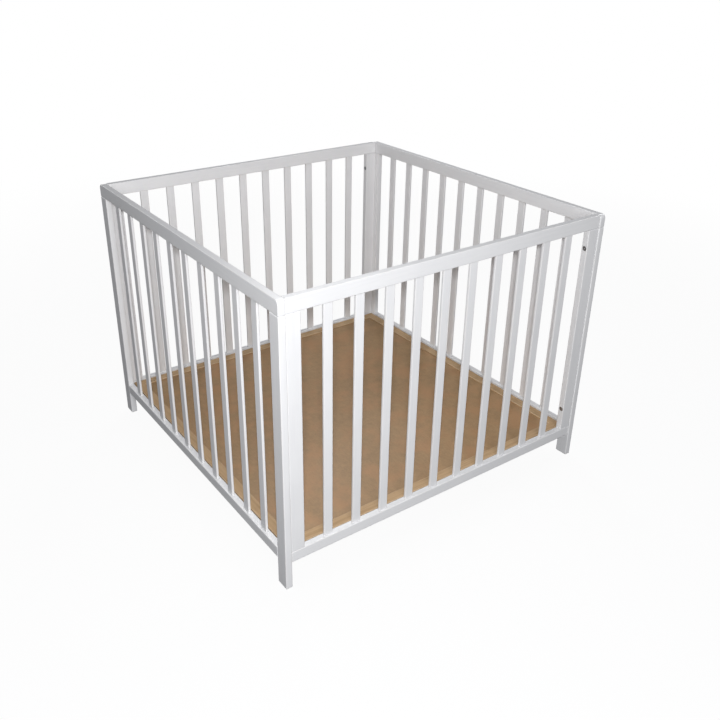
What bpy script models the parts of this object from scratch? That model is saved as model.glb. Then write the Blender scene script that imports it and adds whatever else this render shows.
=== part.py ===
"""Square wooden playpen: two side panels with legs, a front and a back panel, and a lift-out floor.

Every panel is a top rail, a bottom rail, two uprights and a row of flat slats. The uprights of
the side panels run down to the ground as legs. The front and back panels fit between the side
panels, and two bolts at each corner pull a stile against a leg. The floor is a hardboard panel
held in the groove of a wooden frame, which rests on two ledges and lifts out through the top.

Metres, +Z up. The origin is on the ground, under the middle of the pen. The front is at -Y.
"""

import math

import bmesh
import bpy
from mathutils import Matrix, Vector

# Overall sizes
PEN_WIDTH = 1.000          # outside of the left side panel to outside of the right one
PEN_DEPTH = 1.000          # length of a side panel
PEN_HEIGHT = 0.753         # ground to the top of every top rail

# Timber sections
BOARD = 0.018              # thickness of every rail, leg and stile
TOP_RAIL = 0.036           # height of a top rail
BOTTOM_RAIL = 0.029        # height of a bottom rail
LEG_WIDTH = 0.037          # width of a leg, along the side panel
STILE_WIDTH = 0.037        # width of a front or back stile
SLAT_WIDTH = 0.024
SLAT_THICKNESS = 0.007
FOOT_HEIGHT = 0.073        # ground to the underside of the bottom rails
SETBACK = 0.0020           # front panel behind the ends of the side panels

# Slats in each panel
SIDE_SLATS = 10
END_SLATS = 10

# Rounding
RAIL_END_RADIUS = 0.011    # top corner of a side panel's top rail
ARRIS = 0.0020             # eased edges of rails, legs and stiles
SLAT_ARRIS = 0.0015        # eased edges of slats

# Glued joints
GAP = 0.0003               # between two pieces that touch
SLAT_HOUSING = 0.010       # how deep a slat's end enters a rail
TENON_THICKNESS = 0.008
TENON_LENGTH = 0.016
TENON_SHOULDER = 0.006     # from a tenon's edge to the edge of its board

# Bolts that join a stile to a leg
BOLT_BORE = 0.0066         # clearance hole through the stile
BOLT_RECESS = 0.0136       # counterbore for the bolt's head
BOLT_RECESS_DEPTH = 0.0045
INSERT_BORE = 0.0090       # blind hole for the threaded insert in the leg
INSERT_DEPTH = 0.0130
UPPER_BOLT_DROP = 0.088    # below the top of the pen
LOWER_BOLT_RISE = 0.067    # above the top of the bottom rails

# Floor
FLOOR_CLEARANCE = 0.0040   # all round, between the floor and the panels
FLOOR_DROP = 0.0030        # top of the floor's frame below the top of the bottom rails
FLOOR_LATH_WIDTH = 0.0285
FLOOR_LATH_THICKNESS = 0.014
FLOOR_PANEL_THICKNESS = 0.0040
FLOOR_PANEL_DROP = 0.0040  # top of the hardboard below the top of its frame
FLOOR_GROOVE = 0.0080      # how deep the hardboard enters the frame
LEDGE_WIDTH = 0.014
LEDGE_HEIGHT = 0.010

# Worked out from the sizes above
RAIL_TOP = FOOT_HEIGHT + BOTTOM_RAIL             # top of the bottom rails
RAIL_UNDER = PEN_HEIGHT - TOP_RAIL               # underside of the top rails
SIDE_X = PEN_WIDTH / 2 - BOARD / 2               # middle of a side panel
END_Y = PEN_DEPTH / 2 - SETBACK - BOARD / 2      # middle of the front or back panel
END_LENGTH = PEN_WIDTH - 2 * BOARD - 2 * GAP     # length of a front or back panel
LEG_Y = PEN_DEPTH / 2 - LEG_WIDTH / 2
STILE_X = END_LENGTH / 2 - STILE_WIDTH / 2
BOLT_HEIGHTS = (RAIL_TOP + LOWER_BOLT_RISE, PEN_HEIGHT - UPPER_BOLT_DROP)
FLOOR_TOP = RAIL_TOP - FLOOR_DROP
FLOOR_WIDTH = PEN_WIDTH - 2 * BOARD - 2 * FLOOR_CLEARANCE
FLOOR_DEPTH = PEN_DEPTH - 2 * (SETBACK + BOARD + FLOOR_CLEARANCE)

# Colour, roughness and metallic value of each material
FINISHES = {
    "white_paint": ((0.83, 0.83, 0.84, 1.0), 0.42, 0.0),
    "pale_wood": ((0.58, 0.38, 0.21, 1.0), 0.55, 0.0),
    "brown_hardboard": ((0.36, 0.20, 0.10, 1.0), 0.50, 0.0),
}


def clear_scene():
    for item in list(bpy.data.objects):
        bpy.data.objects.remove(item, do_unlink=True)


def new_collection(name):
    collection = bpy.data.collections.new(name)
    bpy.context.scene.collection.children.link(collection)
    return collection


def finish_material(piece_name, finish):
    """A piece's own material, with the colour and gloss of its finish."""
    colour, roughness, metallic = FINISHES[finish]
    material = bpy.data.materials.new(f"{piece_name}_{finish}")
    material.use_nodes = True
    shader = material.node_tree.nodes["Principled BSDF"]
    shader.inputs["Base Color"].default_value = colour
    shader.inputs["Roughness"].default_value = roughness
    shader.inputs["Metallic"].default_value = metallic
    material.diffuse_color = colour
    return material


def add_boxes(form, boxes):
    """Adds a box to the bmesh for each (centre, size) pair."""
    for centre, size in boxes:
        scale = Matrix.Diagonal((*size, 1.0))
        bmesh.ops.create_cube(form, size=1.0, matrix=Matrix.Translation(centre) @ scale)


def add_rods(form, rods):
    """Adds a cylinder along X to the bmesh for each (centre, diameter, length)."""
    along_x = Matrix.Rotation(math.radians(90), 4, "Y")
    for centre, diameter, length in rods:
        bmesh.ops.create_cone(
            form,
            cap_ends=True,
            segments=24,
            radius1=diameter / 2,
            radius2=diameter / 2,
            depth=length,
            matrix=Matrix.Translation(centre) @ along_x,
        )


def object_from(form, name, collection, location=(0.0, 0.0, 0.0)):
    """Turns a bmesh into an object at a location. Its vertices are relative to that location."""
    mesh = bpy.data.meshes.new(name)
    form.to_mesh(mesh)
    form.free()
    piece = bpy.data.objects.new(name, mesh)
    piece.location = location
    collection.objects.link(piece)
    return piece


def timber(name, centre, size, finish="white_paint", arris=ARRIS, end_radius=0.0):
    """A planed board with eased edges. A radius rounds the top corners at its ends along Y."""
    form = bmesh.new()
    add_boxes(form, [((0.0, 0.0, 0.0), size)])
    if end_radius:
        corners = [edge for edge in form.edges if is_top_end_edge(edge, size)]
        bmesh.ops.bevel(
            form, geom=corners, offset=end_radius, segments=8, profile=0.5, affect="EDGES"
        )
    piece = object_from(form, name, PARTS, centre)
    piece.data.materials.append(finish_material(name, finish))
    ease = piece.modifiers.new("eased_edges", "BEVEL")
    ease.width = arris
    ease.segments = 2
    ease.limit_method = "ANGLE"
    ease.angle_limit = math.radians(40)
    return piece


def is_top_end_edge(edge, size):
    middle = (edge.verts[0].co + edge.verts[1].co) / 2
    on_top = middle.z > size[2] / 2 - 0.001
    at_end = abs(middle.y) > size[1] / 2 - 0.001
    return on_top and at_end


def tool(name, form):
    """A helper shape for a Boolean. It stays out of the render."""
    piece = object_from(form, name, TOOLS)
    piece.hide_render = True
    piece.display_type = "WIRE"
    return piece


def use_tool(piece, helper, operation):
    cut = piece.modifiers.new(helper.name, "BOOLEAN")
    cut.object = helper
    cut.operation = operation
    cut.solver = "EXACT"


def cut_boxes(piece, label, boxes):
    form = bmesh.new()
    add_boxes(form, boxes)
    use_tool(piece, tool(f"{piece.name}_{label}", form), "DIFFERENCE")


def join_boxes(piece, label, boxes):
    form = bmesh.new()
    add_boxes(form, boxes)
    use_tool(piece, tool(f"{piece.name}_{label}", form), "UNION")


def cut_rods(piece, label, rods):
    form = bmesh.new()
    add_rods(form, rods)
    use_tool(piece, tool(f"{piece.name}_{label}", form), "DIFFERENCE")


def slat_positions(length, upright_width, count):
    """Middles of the slats along a panel, with equal gaps between slats and uprights."""
    clear = length - 2 * upright_width
    gap = (clear - count * SLAT_WIDTH) / (count + 1)
    first = -clear / 2 + gap + SLAT_WIDTH / 2
    return [first + index * (gap + SLAT_WIDTH) for index in range(count)]


def along(panel, run, across, height):
    """A point of a panel: run along its length, across its thickness, height above ground."""
    if panel["axis"] == "Y":
        return Vector((panel["offset"] + across, run, height))
    return Vector((run, panel["offset"] + across, height))


def extent(panel, run, across, height):
    """A size in a panel's directions, turned into X, Y and Z."""
    if panel["axis"] == "Y":
        return (across, run, height)
    return (run, across, height)


def housings(panel, positions, face_height, direction):
    """Pockets for the slats' ends, cut into a rail from its face in a direction, +1 up."""
    depth = SLAT_HOUSING + GAP
    overrun = 0.002
    middle = face_height + direction * (depth - overrun) / 2
    size = extent(panel, SLAT_WIDTH + 2 * GAP, SLAT_THICKNESS + 2 * GAP, depth + overrun)
    return [(along(panel, run, 0.0, middle), size) for run in positions]


def post_mortise(panel, run, upright_width, face_height, direction):
    """The pocket in a rail for the tenon on an upright's end."""
    depth = TENON_LENGTH + GAP
    overrun = 0.002
    middle = face_height + direction * (depth - overrun) / 2
    width = upright_width - 2 * TENON_SHOULDER + 2 * GAP
    size = extent(panel, width, TENON_THICKNESS + 2 * GAP, depth + overrun)
    return (along(panel, run, 0.0, middle), size)


def post_tenon(panel, run, upright_width, face_height, direction):
    """The tenon on an upright's end, rooted inside the upright."""
    root = 0.006
    middle = face_height + direction * (TENON_LENGTH - root) / 2
    width = upright_width - 2 * TENON_SHOULDER
    size = extent(panel, width, TENON_THICKNESS, TENON_LENGTH + root)
    return (along(panel, run, 0.0, middle), size)


def add_slats(panel, positions):
    low = RAIL_TOP - SLAT_HOUSING
    high = RAIL_UNDER + SLAT_HOUSING
    size = extent(panel, SLAT_WIDTH, SLAT_THICKNESS, high - low)
    for index, run in enumerate(positions, start=1):
        centre = along(panel, run, 0.0, (low + high) / 2)
        timber(f"{panel['name']}_slat_{index:02d}", centre, size, arris=SLAT_ARRIS)


def add_top_rail(panel, length, positions, upright_run, upright_width, end_radius):
    centre = along(panel, 0.0, 0.0, PEN_HEIGHT - TOP_RAIL / 2)
    size = extent(panel, length, BOARD, TOP_RAIL)
    rail = timber(f"{panel['name']}_top_rail", centre, size, end_radius=end_radius)
    pockets = housings(panel, positions, RAIL_UNDER, 1)
    for run in (-upright_run, upright_run):
        pockets.append(post_mortise(panel, run, upright_width, RAIL_UNDER, 1))
    cut_boxes(rail, "pockets", pockets)
    return rail


def side_panel(name, side):
    """A side panel, with legs to the ground. Side is -1 on the left and 1 on the right."""
    panel = {"name": name, "axis": "Y", "offset": side * SIDE_X}
    positions = slat_positions(PEN_DEPTH, LEG_WIDTH, SIDE_SLATS)
    add_top_rail(panel, PEN_DEPTH, positions, LEG_Y, LEG_WIDTH, RAIL_END_RADIUS)
    side_bottom_rail(panel, positions)
    add_leg(panel, "front", -1, side)
    add_leg(panel, "back", 1, side)
    add_slats(panel, positions)


def side_bottom_rail(panel, positions):
    """The bottom rail between the legs, with a tenon on each end."""
    height = FOOT_HEIGHT + BOTTOM_RAIL / 2
    length = PEN_DEPTH - 2 * LEG_WIDTH - 2 * GAP
    centre = along(panel, 0.0, 0.0, height)
    rail = timber(f"{panel['name']}_bottom_rail", centre, extent(panel, length, BOARD, BOTTOM_RAIL))
    cut_boxes(rail, "pockets", housings(panel, positions, RAIL_TOP, -1))
    root = 0.006
    run = length / 2 + (TENON_LENGTH - root) / 2
    size = extent(panel, TENON_LENGTH + root, TENON_THICKNESS, BOTTOM_RAIL - 2 * TENON_SHOULDER)
    join_boxes(rail, "tenons", [(along(panel, sign * run, 0.0, height), size) for sign in (-1, 1)])


def add_leg(panel, place, end, side):
    """A leg, with a tenon in the top rail, a mortise for the bottom rail and the insert bores."""
    run = end * LEG_Y
    high = RAIL_UNDER - GAP
    leg = timber(
        f"{panel['name']}_{place}_leg",
        along(panel, run, 0.0, high / 2),
        extent(panel, LEG_WIDTH, BOARD, high),
    )
    join_boxes(leg, "tenon", [post_tenon(panel, run, LEG_WIDTH, high, 1)])
    overrun = 0.002
    depth = TENON_LENGTH + GAP
    inner_edge = run - end * LEG_WIDTH / 2
    pocket_run = inner_edge + end * (depth - overrun) / 2
    pocket_height = BOTTOM_RAIL - 2 * TENON_SHOULDER + 2 * GAP
    pocket = extent(panel, depth + overrun, TENON_THICKNESS + 2 * GAP, pocket_height)
    centre = along(panel, pocket_run, 0.0, FOOT_HEIGHT + BOTTOM_RAIL / 2)
    cut_boxes(leg, "mortise", [(centre, pocket)])
    inner_face = side * (PEN_WIDTH / 2 - BOARD)
    bore_x = inner_face + side * (INSERT_DEPTH - overrun) / 2
    bores = [
        (Vector((bore_x, end * END_Y, height)), INSERT_BORE, INSERT_DEPTH + overrun)
        for height in BOLT_HEIGHTS
    ]
    cut_rods(leg, "insert_bores", bores)


def end_panel(name, end):
    """The front or back panel. End is -1 at the front and 1 at the back."""
    panel = {"name": name, "axis": "X", "offset": end * END_Y}
    positions = slat_positions(END_LENGTH, STILE_WIDTH, END_SLATS)
    add_top_rail(panel, END_LENGTH, positions, STILE_X, STILE_WIDTH, 0.0)
    end_bottom_rail(panel, positions)
    add_stile(panel, "left", -1)
    add_stile(panel, "right", 1)
    add_slats(panel, positions)


def end_bottom_rail(panel, positions):
    """The bottom rail under the stiles, as long as the panel."""
    centre = along(panel, 0.0, 0.0, FOOT_HEIGHT + BOTTOM_RAIL / 2)
    size = extent(panel, END_LENGTH, BOARD, BOTTOM_RAIL)
    rail = timber(f"{panel['name']}_bottom_rail", centre, size)
    pockets = housings(panel, positions, RAIL_TOP, -1)
    for run in (-STILE_X, STILE_X):
        pockets.append(post_mortise(panel, run, STILE_WIDTH, RAIL_TOP, -1))
    cut_boxes(rail, "pockets", pockets)


def add_stile(panel, place, side):
    """A stile between the rails, tenoned at both ends and bored across for two bolts."""
    run = side * STILE_X
    low = RAIL_TOP + GAP
    high = RAIL_UNDER - GAP
    stile = timber(
        f"{panel['name']}_{place}_stile",
        along(panel, run, 0.0, (low + high) / 2),
        extent(panel, STILE_WIDTH, BOARD, high - low),
    )
    tenons = [
        post_tenon(panel, run, STILE_WIDTH, low, -1),
        post_tenon(panel, run, STILE_WIDTH, high, 1),
    ]
    join_boxes(stile, "tenons", tenons)
    overrun = 0.002
    inner_face = run - side * STILE_WIDTH / 2
    recess_x = inner_face + side * (BOLT_RECESS_DEPTH - overrun) / 2
    bores = []
    recesses = []
    for height in BOLT_HEIGHTS:
        bores.append((along(panel, run, 0.0, height), BOLT_BORE, STILE_WIDTH + 2 * overrun))
        recess = along(panel, recess_x, 0.0, height)
        recesses.append((recess, BOLT_RECESS, BOLT_RECESS_DEPTH + overrun))
    cut_rods(stile, "bolt_bores", bores)
    cut_rods(stile, "bolt_recesses", recesses)


def add_ledge(name, end):
    """A strip inside the front or back bottom rail that carries the floor."""
    top = FLOOR_TOP - FLOOR_LATH_THICKNESS - GAP
    inner_face = PEN_DEPTH / 2 - SETBACK - BOARD
    y = end * (inner_face - GAP - LEDGE_WIDTH / 2)
    size = (FLOOR_WIDTH, LEDGE_WIDTH, LEDGE_HEIGHT)
    timber(name, (0.0, y, top - LEDGE_HEIGHT / 2), size, "white_paint", SLAT_ARRIS)


def add_floor():
    """The floor's frame and its hardboard, on an empty that lifts them together."""
    lift = bpy.data.objects.new("floor_lift", None)
    lift.location = (0.0, 0.0, FLOOR_TOP)
    PARTS.objects.link(lift)
    half = FLOOR_LATH_THICKNESS / 2
    opening = (
        FLOOR_WIDTH - 2 * FLOOR_LATH_WIDTH,
        FLOOR_DEPTH - 2 * FLOOR_LATH_WIDTH,
        FLOOR_LATH_THICKNESS * 2,
    )
    frame_size = (FLOOR_WIDTH, FLOOR_DEPTH, FLOOR_LATH_THICKNESS)
    frame = timber("floor_frame", (0.0, 0.0, -half), frame_size, "pale_wood", SLAT_ARRIS)
    frame.parent = lift
    middle = Vector((0.0, 0.0, FLOOR_TOP - half))
    cut_boxes(frame, "opening", [(middle, opening)])
    panel_z = -FLOOR_PANEL_DROP - FLOOR_PANEL_THICKNESS / 2
    panel_size = (
        opening[0] + 2 * (FLOOR_GROOVE - GAP),
        opening[1] + 2 * (FLOOR_GROOVE - GAP),
        FLOOR_PANEL_THICKNESS,
    )
    groove = (
        opening[0] + 2 * FLOOR_GROOVE,
        opening[1] + 2 * FLOOR_GROOVE,
        FLOOR_PANEL_THICKNESS + 2 * GAP,
    )
    cut_boxes(frame, "groove", [(Vector((0.0, 0.0, FLOOR_TOP + panel_z)), groove)])
    panel = timber("floor_panel", (0.0, 0.0, panel_z), panel_size, "brown_hardboard", 0.0005)
    panel.parent = lift


clear_scene()
PARTS = new_collection("playpen")
TOOLS = new_collection("playpen_tools")
side_panel("left", -1)
side_panel("right", 1)
end_panel("front", -1)
end_panel("back", 1)
add_ledge("front_floor_ledge", -1)
add_ledge("back_floor_ledge", 1)
add_floor()
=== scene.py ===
"""Playpen: painted timber, a hardboard floor in mitred laths, and the corner fittings.

The packed model is loaded first as a fixed frame, and every piece takes its place from it. The
boards keep the frame's exact shapes, as merged copies with rounded shading. The laths, bolts and
threaded inserts are modelled here. Metres, +Z up, the front at -Y.
"""

import math

import bpy
from mathutils import Matrix, Quaternion, Vector


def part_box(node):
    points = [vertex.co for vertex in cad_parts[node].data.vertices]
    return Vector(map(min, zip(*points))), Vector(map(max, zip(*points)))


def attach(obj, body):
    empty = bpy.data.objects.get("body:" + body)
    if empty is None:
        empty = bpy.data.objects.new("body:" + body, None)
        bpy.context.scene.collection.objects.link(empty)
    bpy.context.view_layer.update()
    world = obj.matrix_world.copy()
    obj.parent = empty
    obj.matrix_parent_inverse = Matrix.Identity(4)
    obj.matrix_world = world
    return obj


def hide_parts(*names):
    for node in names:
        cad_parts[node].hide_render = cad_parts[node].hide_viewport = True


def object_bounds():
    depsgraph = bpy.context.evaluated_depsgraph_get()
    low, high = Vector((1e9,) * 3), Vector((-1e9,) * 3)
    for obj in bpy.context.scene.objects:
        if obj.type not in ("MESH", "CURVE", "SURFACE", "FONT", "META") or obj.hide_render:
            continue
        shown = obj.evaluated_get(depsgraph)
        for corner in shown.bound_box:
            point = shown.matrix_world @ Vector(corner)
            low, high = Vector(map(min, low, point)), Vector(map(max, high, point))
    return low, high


bl_info = {
    "name": "Playpen workshop",
    "version": (1, 0, 0),
    "blender": (4, 5, 0),
    "location": "3D View > Sidebar > Playpen",
    "description": "Paints the timber, lays the floor, fits the bolts and sets up the studio",
    "category": "Object",
}

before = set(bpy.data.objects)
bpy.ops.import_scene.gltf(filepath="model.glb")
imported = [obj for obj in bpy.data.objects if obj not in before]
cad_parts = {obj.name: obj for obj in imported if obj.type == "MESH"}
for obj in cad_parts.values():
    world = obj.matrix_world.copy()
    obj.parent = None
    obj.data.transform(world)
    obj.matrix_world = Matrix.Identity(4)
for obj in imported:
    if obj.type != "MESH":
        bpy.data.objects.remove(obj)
CAD_LOW, CAD_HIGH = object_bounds()

PANELS = ("left", "right", "front", "back")
SIDES = ("left", "right")
ENDS = ("front", "back")
HARDBOARD = "floor_panel"
FLOOR_FRAME = "floor_frame"
MERGE = 0.00001            # vertices closer than this are one


# ---------------------------------------------------------------- sizes and colours


def length(name, description, default):
    return bpy.props.FloatProperty(
        name=name, description=description, default=default, min=0.0, precision=5, unit="LENGTH"
    )


def colour(name, description, default):
    return bpy.props.FloatVectorProperty(
        name=name, description=description, default=default, size=3, min=0.0, max=1.0, subtype="COLOR"
    )


def share(name, description, default):
    return bpy.props.FloatProperty(
        name=name, description=description, default=default, min=0.0, max=1.0, subtype="FACTOR"
    )


class PLAYPEN_PG_paint(bpy.types.PropertyGroup):
    """White satin paint on the boards and slats."""

    white: colour("White", "Colour of a full coat of paint", (0.805, 0.805, 0.812))
    shade: colour("Shade", "Colour where the coat lies in the grain", (0.755, 0.755, 0.768))
    thin: colour("Thin coat", "Colour where sanding thinned the coat on an edge", (0.66, 0.61, 0.53))
    thinning: share("Edge thinning", "How much of the thin colour shows on the edges", 0.30)
    edge_width: length("Edge width", "How far a thinned coat reaches from an edge", 0.0022)
    grain_relief: length("Grain relief", "Height of the grain that shows through", 0.00011)
    peel_relief: length("Paint relief", "Height of the paint's own fine ripple", 0.00005)
    gloss: share("Roughness", "Roughness of the satin coat", 0.38)


class PLAYPEN_PG_floor(bpy.types.PropertyGroup):
    """Hardboard and the pale laths round it."""

    board_light: colour("Light fibre", "Lightest brown of the hardboard", (0.450, 0.288, 0.150))
    board_warm: colour("Warm fibre", "Redder brown of the broad blotches", (0.468, 0.253, 0.123))
    board_dark: colour("Dark fibre", "Darkest brown of the hardboard", (0.288, 0.178, 0.086))
    fibre_relief: length("Fibre relief", "Height of the fibres in the hardboard's face", 0.00012)
    wood_light: colour("Early wood", "Light tan of the laths", (0.500, 0.335, 0.185))
    wood_dark: colour("Late wood", "Darker rings of the laths", (0.370, 0.235, 0.118))
    wood_worn: colour("Worn edge", "Pale wood where an arris is rubbed", (0.66, 0.52, 0.36))
    wood_relief: length("Wood relief", "Height of the laths' grain", 0.00012)
    groove: length("Groove depth", "How deep the hardboard enters a lath", 0.0080)
    groove_play: length("Groove play", "Gap above and below the hardboard", 0.0003)
    mitre_gap: length("Mitre gap", "Open line at a mitre", 0.0004)
    arris: length("Lath arris", "Rounding of a lath's long edges", 0.0015)


class PLAYPEN_PG_fittings(bpy.types.PropertyGroup):
    """Bolts through the stiles and threaded inserts in the legs."""

    steel: colour("Steel", "Colour of the plated steel", (0.56, 0.56, 0.57))
    steel_dark: colour("Dark steel", "Colour of the dull patches", (0.36, 0.36, 0.37))
    upper_drop: length("Upper bolt", "Below the top of the pen", 0.088)
    lower_rise: length("Lower bolt", "Above the top of the bottom rails", 0.067)
    recess_depth: length("Recess depth", "Depth of the recess for the head", 0.0045)
    head_diameter: length("Head diameter", "Across the bolt's head", 0.0126)
    head_height: length("Head height", "Thickness of the bolt's head", 0.0038)
    key: length("Key size", "Across the flats of the hex socket", 0.0040)
    key_depth: length("Socket depth", "Depth of the hex socket", 0.0024)
    shank_diameter: length("Shank diameter", "Across the shank", 0.0058)
    shank_length: length("Shank length", "Under the head to the tip", 0.0460)
    thread_length: length("Thread length", "Threaded part of the shank", 0.0200)
    thread_pitch: length("Thread pitch", "From one ridge to the next", 0.0010)
    insert_diameter: length("Insert diameter", "Across the insert's ridges", 0.0088)
    insert_length: length("Insert length", "Along the insert", 0.0120)
    insert_pitch: length("Insert pitch", "From one outer ridge to the next", 0.0020)
    insert_bore: length("Insert bore", "Across the insert's own hole", 0.0064)


class PLAYPEN_PG_studio(bpy.types.PropertyGroup):
    """Camera, lights and floor."""

    azimuth: bpy.props.FloatProperty(
        name="Azimuth",
        description="Where the camera stands round the pen, from the front towards the right",
        default=math.radians(-34.9),
        subtype="ANGLE",
    )
    elevation: bpy.props.FloatProperty(
        name="Elevation",
        description="How high the camera stands, seen from the middle of the pen",
        default=math.radians(25.5),
        subtype="ANGLE",
    )
    distance: length("Distance", "From the middle of the pen to the camera", 2.383)
    heading: bpy.props.FloatProperty(
        name="Heading",
        description="Direction that the camera faces, from +X towards +Y",
        default=0.94968,
        subtype="ANGLE",
    )
    tilt: bpy.props.FloatProperty(
        name="Tilt", description="How far the camera looks down", default=0.45232, subtype="ANGLE"
    )
    roll: bpy.props.FloatProperty(
        name="Roll", description="Turn about the line of sight", default=0.01099, subtype="ANGLE"
    )
    lens: bpy.props.FloatProperty(
        name="Lens", description="Focal length in millimetres", default=40.3, unit="CAMERA"
    )
    shift: bpy.props.FloatVectorProperty(
        name="Shift", description="Sideways and upward shift", default=(0.0156, -0.0449), size=2
    )
    key_power: bpy.props.FloatProperty(
        name="Key light", description="Softbox behind the camera", default=31.5, unit="POWER"
    )
    back_power: bpy.props.FloatProperty(
        name="Back light", description="Softbox behind the pen", default=17.0, unit="POWER"
    )
    rear_power: bpy.props.FloatProperty(
        name="Rear light", description="Low softbox behind the pen", default=16.0, unit="POWER"
    )
    fill_power: bpy.props.FloatProperty(
        name="Fill light", description="Wide softbox in front of the pen", default=78.0, unit="POWER"
    )
    left_power: bpy.props.FloatProperty(
        name="Left light", description="Wide softbox to the left of the pen", default=4.0, unit="POWER"
    )
    right_power: bpy.props.FloatProperty(
        name="Right light", description="Softbox to the right of the pen", default=10.0, unit="POWER"
    )
    top_power: bpy.props.FloatProperty(
        name="Top light", description="Wide softbox over the pen", default=2.0, unit="POWER"
    )
    room_light: bpy.props.FloatProperty(
        name="Room light", description="Strength of the even light all round", default=0.07
    )
    room_colour: colour("Room colour", "Colour of the even light all round", (0.90, 0.92, 1.0))
    floor_colour: colour("Floor colour", "Pale studio floor", (0.86, 0.86, 0.87))
    floor_bounce: colour("Floor bounce", "What the floor throws back at the pen", (0.07, 0.07, 0.075))
    backdrop: share("Backdrop", "How much of the floor's own brightness is even white", 0.93)


# ---------------------------------------------------------------- shader arithmetic


class Number:
    """A number that changes over a surface. A sum or product of it adds a Math node."""

    def __init__(self, finish, socket):
        self.finish = finish
        self.socket = socket

    def maths(self, operation, *values):
        inputs = dict(enumerate(values))
        made = self.finish.node("ShaderNodeMath", {"operation": operation}, inputs)
        return Number(self.finish, made.outputs[0])

    def __add__(self, other):
        return self.maths("ADD", self, other)

    __radd__ = __add__

    def __sub__(self, other):
        return self.maths("SUBTRACT", self, other)

    def __rsub__(self, other):
        return self.maths("SUBTRACT", other, self)

    def __mul__(self, other):
        return self.maths("MULTIPLY", self, other)

    __rmul__ = __mul__

    def __abs__(self):
        return self.maths("ABSOLUTE", self)

    def least(self, other):
        return self.maths("MINIMUM", self, other)

    def most(self, other):
        return self.maths("MAXIMUM", self, other)

    def step(self, low, high):
        """0 at low and 1 at high, with a smooth turn at both."""
        made = self.finish.node(
            "ShaderNodeMapRange",
            {"interpolation_type": "SMOOTHSTEP"},
            {"Value": self, "From Min": low, "From Max": high},
        )
        return Number(self.finish, made.outputs[0])


class Finish:
    """A material and its nodes."""

    def __init__(self, name):
        self.material = bpy.data.materials.new(name)
        self.material.use_nodes = True
        self.tree = self.material.node_tree
        self.shader = self.tree.nodes["Principled BSDF"]

    def node(self, kind, settings=None, inputs=None):
        """Adds a node. Its settings are set first, then the values or links of its sockets."""
        made = self.tree.nodes.new(kind)
        for name, value in (settings or {}).items():
            if name == "stops":
                self.set_stops(made.color_ramp, value)
            else:
                setattr(made, name, value)
        for name, value in (inputs or {}).items():
            self.feed(made.inputs[name], value)
        return made

    def feed(self, socket, value):
        if isinstance(value, Number):
            value = value.socket
        if isinstance(value, bpy.types.NodeSocket):
            self.tree.links.new(value, socket)
        else:
            socket.default_value = value

    def set_stops(self, ramp, stops):
        while len(ramp.elements) < len(stops):
            ramp.elements.new(0.5)
        for element, (position, value) in zip(ramp.elements, stops):
            element.position = position
            element.color = value

    def place(self):
        return self.node("ShaderNodeTexCoord").outputs["Object"]

    def moved(self, offset=(0.0, 0.0, 0.0), turn=(0.0, 0.0, 0.0), scale=(1.0, 1.0, 1.0)):
        """The place on the piece, moved, turned and stretched."""
        inputs = {"Vector": self.place(), "Location": offset, "Rotation": turn, "Scale": scale}
        return self.node("ShaderNodeMapping", inputs=inputs).outputs[0]

    def noise(self, where, scale, detail=2.0, roughness=0.5, distortion=0.0):
        inputs = {
            "Vector": where,
            "Scale": scale,
            "Detail": detail,
            "Roughness": roughness,
            "Distortion": distortion,
        }
        return Number(self, self.node("ShaderNodeTexNoise", inputs=inputs).outputs[0])

    def axis_numbers(self, vector):
        parts = self.node("ShaderNodeSeparateXYZ", inputs={0: vector})
        return [Number(self, socket) for socket in parts.outputs]

    def mix(self, factor, first, second):
        """A colour between two colours."""
        inputs = {0: factor, 6: opaque(first), 7: opaque(second)}
        return self.node("ShaderNodeMix", {"data_type": "RGBA"}, inputs).outputs[2]

    def bump(self, height, relief, under=None):
        """A normal from a height of 0 to 1, where 1 stands relief metres high."""
        inputs = {"Height": height, "Distance": relief, "Strength": 1.0}
        if under is not None:
            inputs["Normal"] = under
        return self.node("ShaderNodeBump", inputs=inputs).outputs[0]

    def surface(self, **values):
        for name, value in values.items():
            self.feed(self.shader.inputs[name.replace("_", " ")], value)


def opaque(value):
    """A property's colour with its alpha. A socket is left as it is."""
    return value if isinstance(value, bpy.types.NodeSocket) else (*value, 1.0)


def grain_axis(low, high):
    """The axis along a board, 0 for X, 1 for Y and 2 for Z."""
    size = high - low
    return max(range(3), key=lambda axis: size[axis])


def stretched(axis, along):
    """A scale that draws a pattern out along one axis."""
    return tuple(along if index == axis else 1.0 for index in range(3))


def own_offset(number):
    """A shift of the pattern for each piece, so that no two boards have the same grain."""
    return (0.731 * number, 1.377 * number % 7.0, 2.113 * number % 5.0)


def edge_distance(finish, low, high):
    """Metres from a board's nearest edge: the middle one of its three distances from a face."""
    numbers = finish.axis_numbers(finish.place())
    away = []
    for axis, number in enumerate(numbers):
        middle = (low[axis] + high[axis]) / 2
        half = (high[axis] - low[axis]) / 2
        away.append(half - abs(number - middle))
    first, second, third = away
    return first.least(second).most(first.most(second).least(third))


def end_grain(finish, axis):
    """1 on the faces across the grain, 0 on the faces along it."""
    normal = finish.node("ShaderNodeNewGeometry").outputs["Normal"]
    return abs(finish.axis_numbers(normal)[axis]).step(0.75, 0.95)


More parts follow.
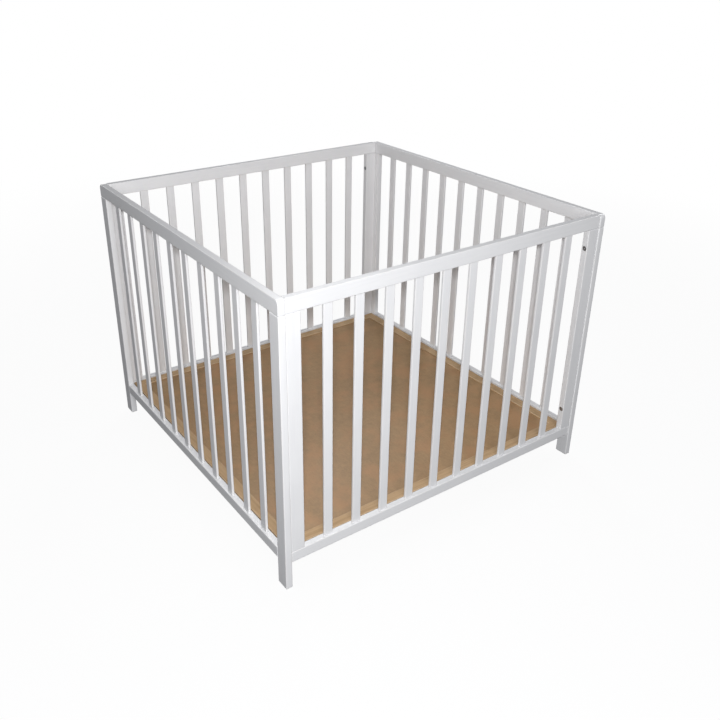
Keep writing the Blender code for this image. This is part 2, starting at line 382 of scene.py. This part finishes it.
def paint_finish(name, low, high, number):
    """Satin paint on wood: grain along the board, a fine ripple, thinner on the edges."""
    paint = bpy.context.scene.playpen_paint
    finish = Finish(name)
    axis = grain_axis(low, high)
    offset = own_offset(number)
    drawn = finish.moved(offset, scale=stretched(axis, 0.045))
    plain = finish.moved(offset)
    streaks = finish.noise(drawn, 170.0, 5.0, 0.62, 0.35)
    fibres = finish.noise(drawn, 760.0, 2.0, 0.55)
    peel = finish.noise(plain, 420.0, 2.0, 0.45)
    cloud = finish.noise(plain, 11.0, 3.0, 0.5)
    ends = end_grain(finish, axis)
    near_edge = 1.0 - edge_distance(finish, low, high).step(0.0003, paint.edge_width)
    patchy = finish.noise(finish.moved(offset, scale=stretched(axis, 0.3)), 60.0, 4.0, 0.6)
    thin = near_edge * patchy.step(0.38, 0.62)
    in_grain = streaks.step(0.40, 0.72) * 0.45 + cloud.step(0.35, 0.65) * 0.35 + ends * 0.5
    coat = finish.mix(in_grain, paint.white, paint.shade)
    grain = finish.bump(streaks * 0.6 + fibres * 0.4, paint.grain_relief)
    dull = (streaks - 0.5) * 0.16 + (cloud - 0.5) * 0.12 + thin * 0.10 + ends * 0.12
    finish.surface(
        Base_Color=finish.mix(thin * paint.thinning, coat, paint.thin),
        Roughness=dull + paint.gloss,
        Normal=finish.bump(peel, paint.peel_relief, grain),
        Coat_Weight=0.12,
        Coat_Roughness=0.22,
        Specular_IOR_Level=0.45,
    )
    return finish.material


def fibre_layer(finish, angle, scale, number):
    """Long thin fibres that lie in one direction."""
    where = finish.moved(own_offset(number), (0.0, 0.0, math.radians(angle)), (1.0, 0.10, 1.0))
    return finish.noise(where, scale, 3.0, 0.6, 0.6)


def hardboard_finish(name):
    """Pressed brown fibres: matted hairs, mottling, dark specks and a slight press sheen."""
    floor = bpy.context.scene.playpen_floor
    finish = Finish(name)
    plain = finish.moved()
    layers = [
        fibre_layer(finish, angle, scale, number)
        for number, (angle, scale) in enumerate(((14.0, 420.0), (76.0, 480.0), (131.0, 390.0)), 1)
    ]
    matted = layers[0].most(layers[1]).most(layers[2])
    mottle = finish.noise(plain, 52.0, 6.0, 0.62)
    clumps = finish.noise(plain, 190.0, 4.0, 0.6)
    broad = finish.noise(plain, 3.2, 3.0, 0.5)
    specks = finish.noise(finish.moved(own_offset(5)), 620.0, 2.0, 0.5).step(0.66, 0.74)
    light = (
        matted.step(0.42, 0.80) * 0.38
        + mottle.step(0.32, 0.68) * 0.30
        + clumps.step(0.30, 0.70) * 0.20
        + broad.step(0.35, 0.65) * 0.22
    )
    ruddy = finish.noise(finish.moved(own_offset(9)), 12.0, 3.0, 0.55).step(0.42, 0.68)
    pressed = finish.mix(light, floor.board_dark, floor.board_light)
    brown = finish.mix(ruddy * 0.55, pressed, floor.board_warm)
    dark = tuple(value * 0.55 for value in floor.board_dark)
    fibres = finish.bump(matted * 0.6 + clumps * 0.4, floor.fibre_relief)
    finish.surface(
        Base_Color=finish.mix(specks * 0.7, brown, dark),
        Roughness=0.46 + (mottle - 0.5) * 0.22 + (matted - 0.5) * 0.18,
        Normal=fibres,
        Specular_IOR_Level=0.40,
    )
    return finish.material


def lath_finish(name, low, high, number):
    """Bare pale wood: rings drawn out along the lath, fine pores and a darker end grain."""
    floor = bpy.context.scene.playpen_floor
    finish = Finish(name)
    axis = grain_axis(low, high)
    offset = own_offset(number)
    slow = finish.moved(offset, scale=stretched(axis, 0.035))
    sway = finish.noise(slow, 26.0, 2.0, 0.5)
    rings = finish.noise(slow, 150.0, 3.0, 0.5, 1.2)
    pores = finish.noise(finish.moved(offset, scale=stretched(axis, 0.02)), 1300.0, 2.0, 0.5)
    cloud = finish.noise(finish.moved(offset), 14.0, 3.0, 0.5)
    ends = end_grain(finish, axis)
    dark = rings.step(0.42, 0.66) * 0.55 + pores.step(0.55, 0.75) * 0.25 + ends * 0.35
    shade = dark + (sway - 0.5) * 0.5 + (cloud - 0.5) * 0.3
    near_edge = 1.0 - edge_distance(finish, low, high).step(0.0002, 0.0020)
    wood = finish.mix(shade.step(0.0, 1.0), floor.wood_light, floor.wood_dark)
    rubbed = finish.noise(finish.moved(offset, scale=stretched(axis, 0.2)), 90.0, 3.0, 0.6)
    finish.surface(
        Base_Color=finish.mix(near_edge * rubbed.step(0.25, 0.55) * 0.85, wood, floor.wood_worn),
        Roughness=0.56 + (rings - 0.5) * 0.20 + pores * 0.08 - near_edge * 0.10,
        Normal=finish.bump(rings * 0.5 + pores * 0.5, floor.wood_relief),
        Specular_IOR_Level=0.40,
    )
    return finish.material


def steel_finish(name):
    """Plated steel with dull patches and fine turning marks."""
    fittings = bpy.context.scene.playpen_fittings
    finish = Finish(name)
    patches = finish.noise(finish.moved(), 900.0, 4.0, 0.6)
    marks = finish.noise(finish.moved(scale=(1.0, 0.15, 0.15)), 4200.0, 2.0, 0.5)
    finish.surface(
        Base_Color=finish.mix(patches.step(0.35, 0.65), fittings.steel, fittings.steel_dark),
        Roughness=0.30 + patches * 0.20 + marks * 0.06,
        Metallic=1.0,
        Normal=finish.bump(marks, 0.00001),
    )
    return finish.material


# ---------------------------------------------------------------- modelling helpers


def select_only(piece):
    """Makes a piece the only selected object, and the active one."""
    bpy.ops.object.select_all(action="DESELECT")
    piece.select_set(True)
    bpy.context.view_layer.objects.active = piece


def edit(piece, parts="FACE"):
    """Opens a piece in edit mode with nothing selected."""
    select_only(piece)
    bpy.ops.object.mode_set(mode="EDIT")
    bpy.ops.mesh.select_mode(type=parts)
    bpy.ops.mesh.select_all(action="DESELECT")


def choose(piece, kind, wanted):
    """Selects, from edit mode, the faces, edges or vertices that a test picks out."""
    bpy.ops.mesh.select_all(action="DESELECT")
    bpy.ops.object.mode_set(mode="OBJECT")
    items = getattr(piece.data, kind)
    chosen = 0
    for item in items:
        if wanted(item):
            item.select = True
            chosen += 1
    bpy.ops.object.mode_set(mode="EDIT")
    if not chosen:
        raise RuntimeError(f"{piece.name}: nothing in {kind} matches")


def close_edit():
    bpy.ops.object.mode_set(mode="OBJECT")


def middle_of(piece, edge):
    first, second = (piece.data.vertices[index].co for index in edge.vertices)
    return (first + second) / 2


def apply_modifiers(piece):
    select_only(piece)
    for modifier in list(piece.modifiers):
        bpy.ops.object.modifier_apply(modifier=modifier.name)


def settle(piece):
    """Puts a piece's place, turn and scale into its mesh."""
    select_only(piece)
    bpy.ops.object.transform_apply(location=True, rotation=True, scale=True)


def soften(piece, angle=50.0):
    """Smooth shading over rounded edges, with the wide faces kept flat."""
    select_only(piece)
    bpy.ops.object.shade_smooth_by_angle(angle=math.radians(angle))
    even = piece.modifiers.new("even_normals", "WEIGHTED_NORMAL")
    even.weight = 80
    even.keep_sharp = True
    apply_modifiers(piece)


def cut_away(piece, cutter):
    """Takes one solid out of another and removes the cutter."""
    cut = piece.modifiers.new("cut", "BOOLEAN")
    cut.object = cutter
    cut.solver = "EXACT"
    apply_modifiers(piece)
    bpy.data.objects.remove(cutter, do_unlink=True)


def copy_of(piece, name, matrix):
    """A copy with its own mesh, carried to its place by a matrix."""
    made = piece.copy()
    made.data = piece.data.copy()
    made.name = name
    made.data.name = name
    bpy.context.scene.collection.objects.link(made)
    made.matrix_world = matrix
    settle(made)
    return made


def give(piece, material):
    """Makes a material the piece's only one."""
    piece.data.materials.clear()
    piece.data.materials.append(material)


# ---------------------------------------------------------------- painted timber


def painted_nodes():
    """The names of all boards, slats and ledges, in order."""
    names = []
    for panel in PANELS:
        names += [f"{panel}_top_rail", f"{panel}_bottom_rail"]
    names += [f"{side}_{end}_leg" for side in SIDES for end in ENDS]
    names += [f"{end}_{side}_stile" for end in ENDS for side in SIDES]
    names += [f"{end}_floor_ledge" for end in ENDS]
    names += sorted(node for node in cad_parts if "_slat_" in node)
    return names


def merged_copy(node, name):
    """A copy of a frame solid with its triangles joined up and its flat faces whole."""
    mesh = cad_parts[node].data.copy()
    piece = bpy.data.objects.new(name, mesh)
    mesh.name = name
    bpy.context.scene.collection.objects.link(piece)
    select_only(piece)
    bpy.ops.mesh.customdata_custom_splitnormals_clear()
    bpy.ops.object.mode_set(mode="EDIT")
    bpy.ops.mesh.select_all(action="SELECT")
    bpy.ops.mesh.remove_doubles(threshold=MERGE)
    bpy.ops.mesh.dissolve_limited(angle_limit=math.radians(0.5))
    close_edit()
    return piece


def painted_board(node, number):
    """A board with rounded shading and its own coat of paint."""
    low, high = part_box(node)
    piece = merged_copy(node, f"{node}_painted")
    soften(piece)
    give(piece, paint_finish(f"paint_{node}", low, high, number))
    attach(piece, "panels")
    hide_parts(node)
    return piece


class PLAYPEN_OT_painted_timber(bpy.types.Operator):
    """Make the painted rails, legs, stiles, slats and ledges"""

    bl_idname = "playpen.painted_timber"
    bl_label = "Painted timber"

    def execute(self, context):
        for number, node in enumerate(painted_nodes(), start=1):
            painted_board(node, number)
        return {"FINISHED"}


# ---------------------------------------------------------------- floor


def lath_blank(name, low, high):
    """A lath's full-length bar, with a groove in its inner (+Y) face for the hardboard."""
    floor = bpy.context.scene.playpen_floor
    panel_low, panel_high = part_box(HARDBOARD)
    groove_low = panel_low.z - floor.groove_play
    groove_high = panel_high.z + floor.groove_play
    bpy.ops.mesh.primitive_cube_add(size=1.0, location=(low + high) / 2, scale=high - low)
    piece = bpy.context.active_object
    piece.name = name
    piece.data.name = name
    settle(piece)
    edit(piece)
    for height in (groove_low, groove_high):
        bpy.ops.mesh.select_all(action="SELECT")
        bpy.ops.mesh.bisect(plane_co=(0.0, 0.0, height), plane_no=(0.0, 0.0, 1.0))
    inner = high.y

    def is_strip(face):
        level = groove_low < face.center.z < groove_high
        return level and abs(face.center.y - inner) < MERGE

    choose(piece, "polygons", is_strip)
    bpy.ops.mesh.extrude_region_move(TRANSFORM_OT_translate={"value": (0.0, -floor.groove, 0.0)})
    close_edit()
    return piece


def mitre(piece, reach, slope, outer):
    """Cuts one end of a lath at 45 degrees. Slope is -1 at the left end and 1 at the right."""
    edit(piece)
    bpy.ops.mesh.select_all(action="SELECT")
    corner = Vector((slope * reach, outer, 0.0))
    bpy.ops.mesh.bisect(
        plane_co=corner,
        plane_no=(slope, 1.0, 0.0),
        use_fill=True,
        clear_outer=True,
    )
    close_edit()


def ease_lath(piece, low, high, arris):
    """Rounds the four outer long edges, not those of the groove."""

    def is_long_edge(edge):
        place = middle_of(piece, edge)
        first, second = (piece.data.vertices[index].co for index in edge.vertices)
        runs_along = abs(first.x - second.x) > 0.5
        at_side = min(abs(place.y - low.y), abs(place.y - high.y)) < MERGE
        at_face = min(abs(place.z - low.z), abs(place.z - high.z)) < MERGE
        return runs_along and at_side and at_face

    edit(piece, "EDGE")
    choose(piece, "edges", is_long_edge)
    bpy.ops.mesh.bevel(offset=arris, segments=4, affect="EDGES")
    close_edit()


def mitred_lath(name, span, outer):
    """A lath along X at the front: span is its full length, outer the distance of its outer edge."""
    floor = bpy.context.scene.playpen_floor
    frame_low, frame_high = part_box(FLOOR_FRAME)
    panel_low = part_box(HARDBOARD)[0]
    width = panel_low.y - frame_low.y + floor.groove - floor.groove_play
    low = Vector((-span / 2, -outer, frame_low.z))
    high = Vector((span / 2, -outer + width, frame_high.z))
    piece = lath_blank(name, low, high)
    ease_lath(piece, low, high, floor.arris)
    for slope in (-1, 1):
        mitre(piece, span / 2 - floor.mitre_gap / 2, slope, -outer)
    soften(piece)
    return piece


def turned(angle):
    return Matrix.Rotation(math.radians(angle), 4, "Z")


class PLAYPEN_OT_floor(bpy.types.Operator):
    """Lay the hardboard floor with its four mitred laths"""

    bl_idname = "playpen.floor"
    bl_label = "Floor"

    def execute(self, context):
        low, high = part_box(FLOOR_FRAME)
        front = mitred_lath("floor_lath_front", high.x - low.x, -low.y)
        left = mitred_lath("floor_lath_left", high.y - low.y, -low.x)
        back = copy_of(front, "floor_lath_back", turned(180))
        right = copy_of(left, "floor_lath_right", turned(90))
        left.matrix_world = turned(-90)
        settle(left)
        for number, piece in enumerate((front, back, left, right), start=61):
            corners = [Vector(corner) for corner in piece.bound_box]
            give(piece, lath_finish(f"wood_{piece.name}", corners[0], corners[6], number))
            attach(piece, "floor")
        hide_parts(FLOOR_FRAME)
        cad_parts[HARDBOARD].material_slots[0].material = hardboard_finish("hardboard")
        return {"FINISHED"}


# ---------------------------------------------------------------- fittings


def corner_places():
    """For each bolt: its name, the middle of its stile's inner face, and the way its head faces."""
    fittings = bpy.context.scene.playpen_fittings
    rail_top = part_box("front_bottom_rail")[1].z
    heights = {
        "lower": rail_top + fittings.lower_rise,
        "upper": CAD_HIGH.z - fittings.upper_drop,
    }
    for end in ENDS:
        for side in SIDES:
            low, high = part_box(f"{end}_{side}_stile")
            inner = high.x if side == "left" else low.x
            for level, height in heights.items():
                face = Vector((inner, (low.y + high.y) / 2, height))
                yield f"{end}_{side}_{level}", face, 1 if side == "left" else -1


def end_face(piece, height):
    """A test for the flat face at one height."""
    return lambda face: abs(face.center.z - height) < MERGE and abs(face.normal.z) > 0.99


def ridges(count, pitch, depth_share):
    """Draws the selected end on into ring ridges, down along -Z."""
    for index in range(count):
        for scale in (depth_share, 1 / depth_share):
            bpy.ops.mesh.extrude_region_move(
                TRANSFORM_OT_translate={"value": (0.0, 0.0, -pitch / 2)}
            )
            bpy.ops.transform.resize(value=(scale, scale, 1.0))


def round_bar(name, radius, top, bottom, sides):
    """The start of a turned part: a bar along Z."""
    bpy.ops.mesh.primitive_cylinder_add(
        vertices=sides, radius=radius, depth=top - bottom, location=(0.0, 0.0, (top + bottom) / 2)
    )
    piece = bpy.context.active_object
    piece.name = name
    piece.data.name = name
    settle(piece)
    return piece


def model_bolt():
    """A flat-headed bolt along -Z with its head's face at 0, a hex socket and a threaded end."""
    fittings = bpy.context.scene.playpen_fittings
    head_radius = fittings.head_diameter / 2
    shank_radius = fittings.shank_diameter / 2
    under = -fittings.head_height
    turns = round(fittings.thread_length / fittings.thread_pitch)
    plain = fittings.shank_length - fittings.thread_length
    piece = round_bar("bolt", head_radius, 0.0, under, 48)
    edit(piece)
    choose(piece, "polygons", end_face(piece, under))
    bpy.ops.mesh.inset(thickness=head_radius - shank_radius)
    bpy.ops.mesh.extrude_region_move(TRANSFORM_OT_translate={"value": (0.0, 0.0, -plain)})
    ridges(turns, fittings.thread_pitch, 0.86)
    close_edit()

    def is_rim(edge):
        ends = [piece.data.vertices[index].co for index in edge.vertices]
        on_rim = all(abs(end.xy.length - head_radius) < MERGE for end in ends)
        return on_rim and all(abs(end.z) < MERGE for end in ends)

    edit(piece, "EDGE")
    choose(piece, "edges", is_rim)
    bpy.ops.mesh.bevel(offset=0.0007, segments=4, affect="EDGES")
    close_edit()
    socket_radius = fittings.key / 2 / math.cos(math.radians(30))
    socket = round_bar("socket", socket_radius, 0.001, -fittings.key_depth, 6)
    cut_away(piece, socket)
    soften(piece, 40.0)
    return piece


def model_insert():
    """A ridged sleeve along -Z with its mouth at 0 and a hole right through."""
    fittings = bpy.context.scene.playpen_fittings
    radius = fittings.insert_diameter / 2
    turns = round(fittings.insert_length / fittings.insert_pitch) - 1
    lip = fittings.insert_length - turns * fittings.insert_pitch
    piece = round_bar("insert", radius, 0.0, -lip, 32)
    edit(piece)
    choose(piece, "polygons", end_face(piece, -lip))
    ridges(turns, fittings.insert_pitch, 0.88)
    close_edit()
    bore = round_bar("bore", fittings.insert_bore / 2, 0.001, -fittings.insert_length - 0.001, 32)
    cut_away(piece, bore)
    soften(piece, 35.0)
    return piece


def facing(way):
    """Turns a part that was made along -Z so that its face looks along X, +1 or -1."""
    return Matrix.Rotation(math.radians(90 * way), 4, "Y")


def fit(master, name, place, way, material):
    made = copy_of(master, name, Matrix.Translation(place) @ facing(way))
    give(made, material)
    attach(made, "panels")


class PLAYPEN_OT_bolts(bpy.types.Operator):
    """Fit the eight bolts through the stiles"""

    bl_idname = "playpen.bolts"
    bl_label = "Bolts"

    def execute(self, context):
        fittings = context.scene.playpen_fittings
        sunk = fittings.recess_depth - fittings.head_height
        steel = steel_finish("bolt_steel")
        master = model_bolt()
        for name, face, way in corner_places():
            place = face - Vector((way * sunk, 0.0, 0.0))
            fit(master, f"bolt_{name}", place, way, steel)
        bpy.data.objects.remove(master, do_unlink=True)
        return {"FINISHED"}


class PLAYPEN_OT_inserts(bpy.types.Operator):
    """Fit the eight threaded inserts in the legs"""

    bl_idname = "playpen.inserts"
    bl_label = "Threaded inserts"

    def execute(self, context):
        steel = steel_finish("insert_steel")
        master = model_insert()
        for name, face, way in corner_places():
            leg_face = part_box("left_front_leg")[1].x if way > 0 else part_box("right_front_leg")[0].x
            place = Vector((leg_face - way * 0.0003, face.y, face.z))
            fit(master, f"insert_{name}", place, way, steel)
        bpy.data.objects.remove(master, do_unlink=True)
        return {"FINISHED"}


# ---------------------------------------------------------------- studio


def around(azimuth, elevation, distance):
    """A point round the middle of the pen. Azimuth 0 is the front and a quarter turn the right."""
    middle = (CAD_LOW + CAD_HIGH) / 2
    level = distance * math.cos(elevation)
    step = Vector((math.sin(azimuth) * level, -math.cos(azimuth) * level, distance * math.sin(elevation)))
    return middle + step


def add_camera(studio):
    data = bpy.data.cameras.new("camera")
    camera = bpy.data.objects.new("camera", data)
    bpy.context.scene.collection.objects.link(camera)
    camera.location = around(studio.azimuth, studio.elevation, studio.distance)
    level = math.cos(studio.tilt)
    sight = Vector((
        level * math.cos(studio.heading),
        level * math.sin(studio.heading),
        -math.sin(studio.tilt),
    ))
    camera.rotation_mode = "QUATERNION"
    roll = Quaternion((0.0, 0.0, 1.0), studio.roll)
    camera.rotation_quaternion = sight.to_track_quat("-Z", "Y") @ roll
    data.lens = studio.lens
    data.shift_x, data.shift_y = studio.shift
    bpy.context.scene.camera = camera


def add_softbox(name, azimuth, elevation, distance, size, power, tint):
    data = bpy.data.lights.new(name, "AREA")
    data.shape = "DISK"
    data.size = size
    data.energy = power
    data.color = tint
    lamp = bpy.data.objects.new(name, data)
    bpy.context.scene.collection.objects.link(lamp)
    lamp.location = around(math.radians(azimuth), math.radians(elevation), distance)
    middle = (CAD_LOW + CAD_HIGH) / 2
    lamp.rotation_mode = "QUATERNION"
    lamp.rotation_quaternion = (middle - lamp.location).to_track_quat("-Z", "Y")


def add_room(studio):
    """Even light from all round, in front of a white backdrop."""
    world = bpy.data.worlds.new("room")
    world.use_nodes = True
    tree = world.node_tree
    tree.nodes.clear()
    glow = tree.nodes.new("ShaderNodeBackground")
    glow.inputs["Color"].default_value = (*studio.room_colour, 1.0)
    glow.inputs["Strength"].default_value = studio.room_light
    backdrop = tree.nodes.new("ShaderNodeBackground")
    backdrop.inputs["Color"].default_value = (1.0, 1.0, 1.0, 1.0)
    seen = tree.nodes.new("ShaderNodeLightPath")
    mix = tree.nodes.new("ShaderNodeMixShader")
    out = tree.nodes.new("ShaderNodeOutputWorld")
    tree.links.new(seen.outputs["Is Camera Ray"], mix.inputs[0])
    tree.links.new(glow.outputs[0], mix.inputs[1])
    tree.links.new(backdrop.outputs[0], mix.inputs[2])
    tree.links.new(mix.outputs[0], out.inputs["Surface"])
    bpy.context.scene.world = world


def studio_floor_finish(studio):
    """Pale and matt under the pen, running out into the white backdrop."""
    finish = Finish("studio_floor")
    x, y, z = finish.axis_numbers(finish.place())
    away = (x * x + y * y).step(0.5, 12.0)
    seen = Number(finish, finish.node("ShaderNodeLightPath").outputs["Is Camera Ray"])
    even = (studio.backdrop + away * (1.0 - studio.backdrop)) * seen
    colour_seen = finish.mix(seen, studio.floor_bounce, studio.floor_colour)
    finish.surface(Base_Color=colour_seen, Roughness=0.9, Specular_IOR_Level=0.1)
    glow = finish.node("ShaderNodeEmission", inputs={"Color": (1.0, 1.0, 1.0, 1.0)})
    inputs = {0: even, 1: finish.shader.outputs[0], 2: glow.outputs[0]}
    mixed = finish.node("ShaderNodeMixShader", inputs=inputs)
    out = finish.tree.nodes["Material Output"]
    finish.feed(out.inputs["Surface"], mixed.outputs[0])
    return finish.material


class PLAYPEN_OT_studio(bpy.types.Operator):
    """Set up the camera, the soft lights and the pale floor"""

    bl_idname = "playpen.studio"
    bl_label = "Studio"

    def execute(self, context):
        studio = context.scene.playpen_studio
        bpy.ops.object.select_all(action="DESELECT")
        bpy.ops.mesh.primitive_circle_add(vertices=96, radius=14.0, fill_type="NGON")
        ground = context.active_object
        ground.name = "studio_floor"
        ground.location.z = CAD_LOW.z - 0.0005
        settle(ground)
        give(ground, studio_floor_finish(studio))
        white = (0.985, 0.99, 1.0)
        add_softbox("key_softbox", -34.9, 26.9, 2.45, 0.10, studio.key_power, white)
        add_softbox("left_softbox", -85.0, 22.0, 2.6, 1.5, studio.left_power, white)
        add_softbox("fill_softbox", -22.0, 22.0, 4.5, 2.2, studio.fill_power, white)
        add_softbox("back_softbox", 148.0, 46.0, 2.8, 0.9, studio.back_power, white)
        add_softbox("rear_softbox", 198.0, 12.0, 3.2, 1.8, studio.rear_power, white)
        add_softbox("right_softbox", 88.0, 35.0, 2.8, 0.9, studio.right_power, white)
        add_softbox("top_softbox", 90.0, 80.0, 2.0, 1.6, studio.top_power, white)
        add_room(studio)
        add_camera(studio)
        context.scene.view_settings.view_transform = "Standard"
        return {"FINISHED"}


# ---------------------------------------------------------------- sidebar


class PLAYPEN_PT_sidebar(bpy.types.Panel):
    """The playpen's steps and sizes"""

    bl_label = "Playpen"
    bl_idname = "PLAYPEN_PT_sidebar"
    bl_space_type = "VIEW_3D"
    bl_region_type = "UI"
    bl_category = "Playpen"

    def draw(self, context):
        for step in STEPS:
            self.layout.operator(step.bl_idname)
        for name, group in GROUPS.items():
            box = self.layout.box()
            box.label(text=group.__doc__)
            settings = getattr(context.scene, name)
            for field in group.__annotations__:
                box.prop(settings, field)


GROUPS = {
    "playpen_paint": PLAYPEN_PG_paint,
    "playpen_floor": PLAYPEN_PG_floor,
    "playpen_fittings": PLAYPEN_PG_fittings,
    "playpen_studio": PLAYPEN_PG_studio,
}
STEPS = (
    PLAYPEN_OT_painted_timber,
    PLAYPEN_OT_floor,
    PLAYPEN_OT_bolts,
    PLAYPEN_OT_inserts,
    PLAYPEN_OT_studio,
)


def register():
    for name, group in GROUPS.items():
        bpy.utils.register_class(group)
        setattr(bpy.types.Scene, name, bpy.props.PointerProperty(type=group))
    for step in STEPS:
        bpy.utils.register_class(step)
    bpy.utils.register_class(PLAYPEN_PT_sidebar)


def unregister():
    bpy.utils.unregister_class(PLAYPEN_PT_sidebar)
    for step in reversed(STEPS):
        bpy.utils.unregister_class(step)
    for name, group in reversed(GROUPS.items()):
        delattr(bpy.types.Scene, name)
        bpy.utils.unregister_class(group)


def main():
    register()
    bpy.ops.playpen.painted_timber()
    bpy.ops.playpen.floor()
    bpy.ops.playpen.bolts()
    bpy.ops.playpen.inserts()
    bpy.ops.playpen.studio()


if __name__ == "__main__":
    main()
